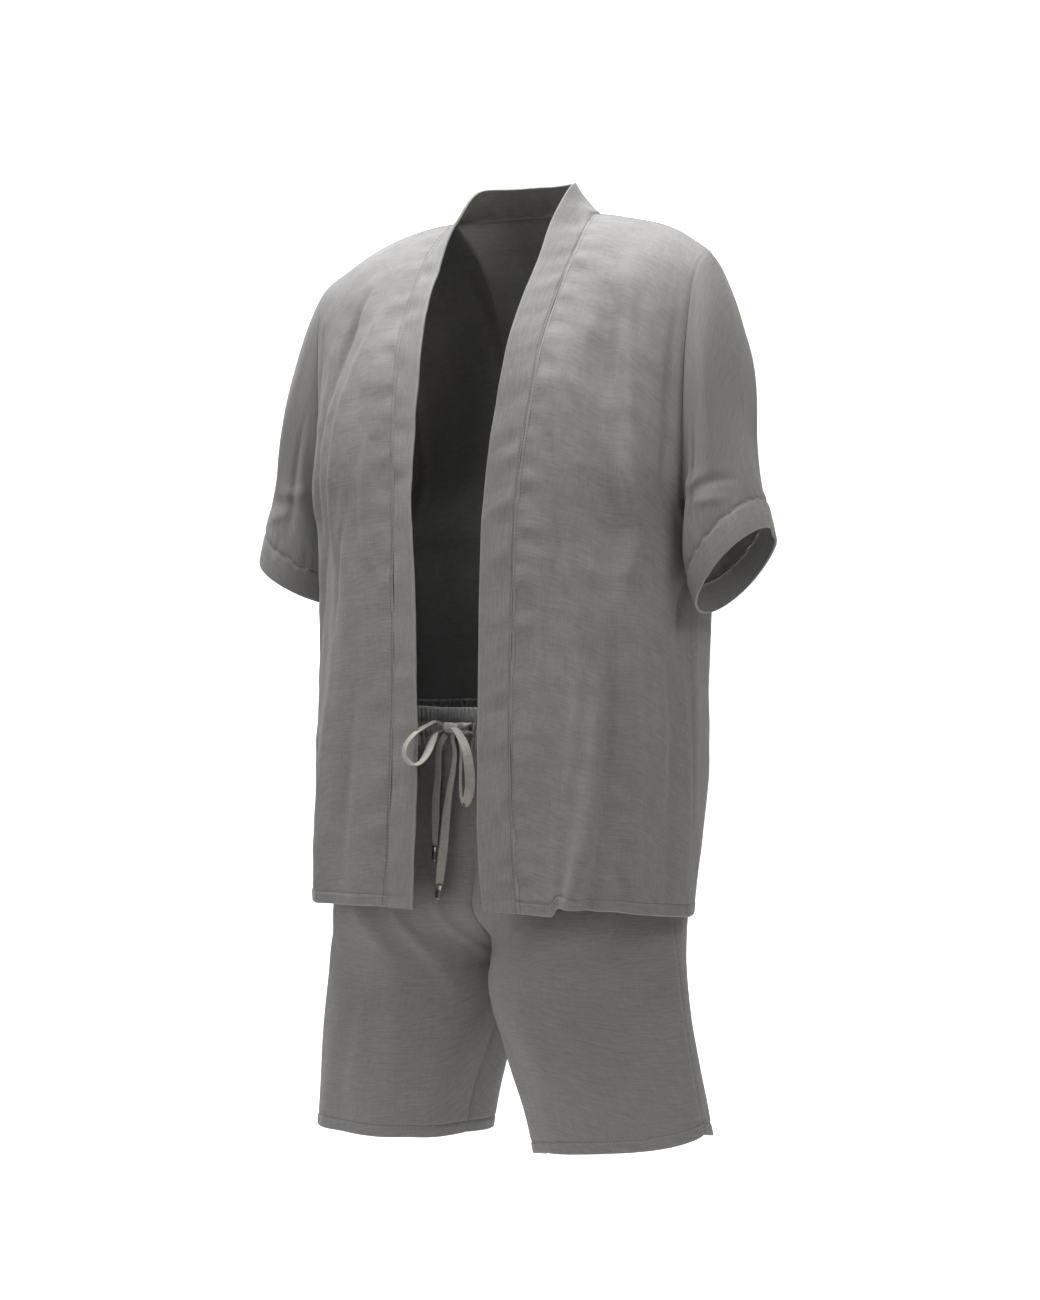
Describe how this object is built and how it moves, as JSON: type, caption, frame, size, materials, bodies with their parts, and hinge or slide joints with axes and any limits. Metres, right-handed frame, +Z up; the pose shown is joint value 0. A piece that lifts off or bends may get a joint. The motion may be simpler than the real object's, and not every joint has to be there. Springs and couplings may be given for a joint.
{
  "type": "kimono jacket and drawstring shorts set",
  "caption": "Open-front kimono jacket with a plain neck band and cuffed half sleeves, over matching elastic-waist shorts tied with a drawstring bow.",
  "frame": {"origin": "base of the neck, midway between the shoulders and level with the shoulder seams' inner ends", "axes": "+Z up, the front faces -Y, +X towards the wearer's left sleeve"},
  "size_m": [0.6081, 0.2853, 0.997],
  "materials": {
    "cloth": "plain-woven grey linen-like cloth",
    "drawstring": "flat woven tape, pale beige grey",
    "cord_tip": "dull metal sleeve"
  },
  "bodies": {
    "root": {"jacket_front_left": "cloth", "jacket_front_right": "cloth", "jacket_back_left": "cloth", "jacket_back_right": "cloth", "neck_band": "cloth", "sleeve_left": "cloth", "sleeve_right": "cloth", "cuff_left": "cloth", "cuff_right": "cloth", "shorts_front_left": "cloth", "shorts_front_right": "cloth", "shorts_back_left": "cloth", "shorts_back_right": "cloth", "waistband": "cloth", "drawstring_knot": "drawstring", "drawstring_loop_left": "drawstring", "drawstring_loop_right": "drawstring", "drawstring_end_left": "drawstring", "drawstring_end_right": "drawstring", "drawstring_exit_upper": "drawstring", "drawstring_exit_lower": "drawstring", "drawstring_tip_left": "cord_tip", "drawstring_tip_right": "cord_tip"}
  },
  "joints": []
}
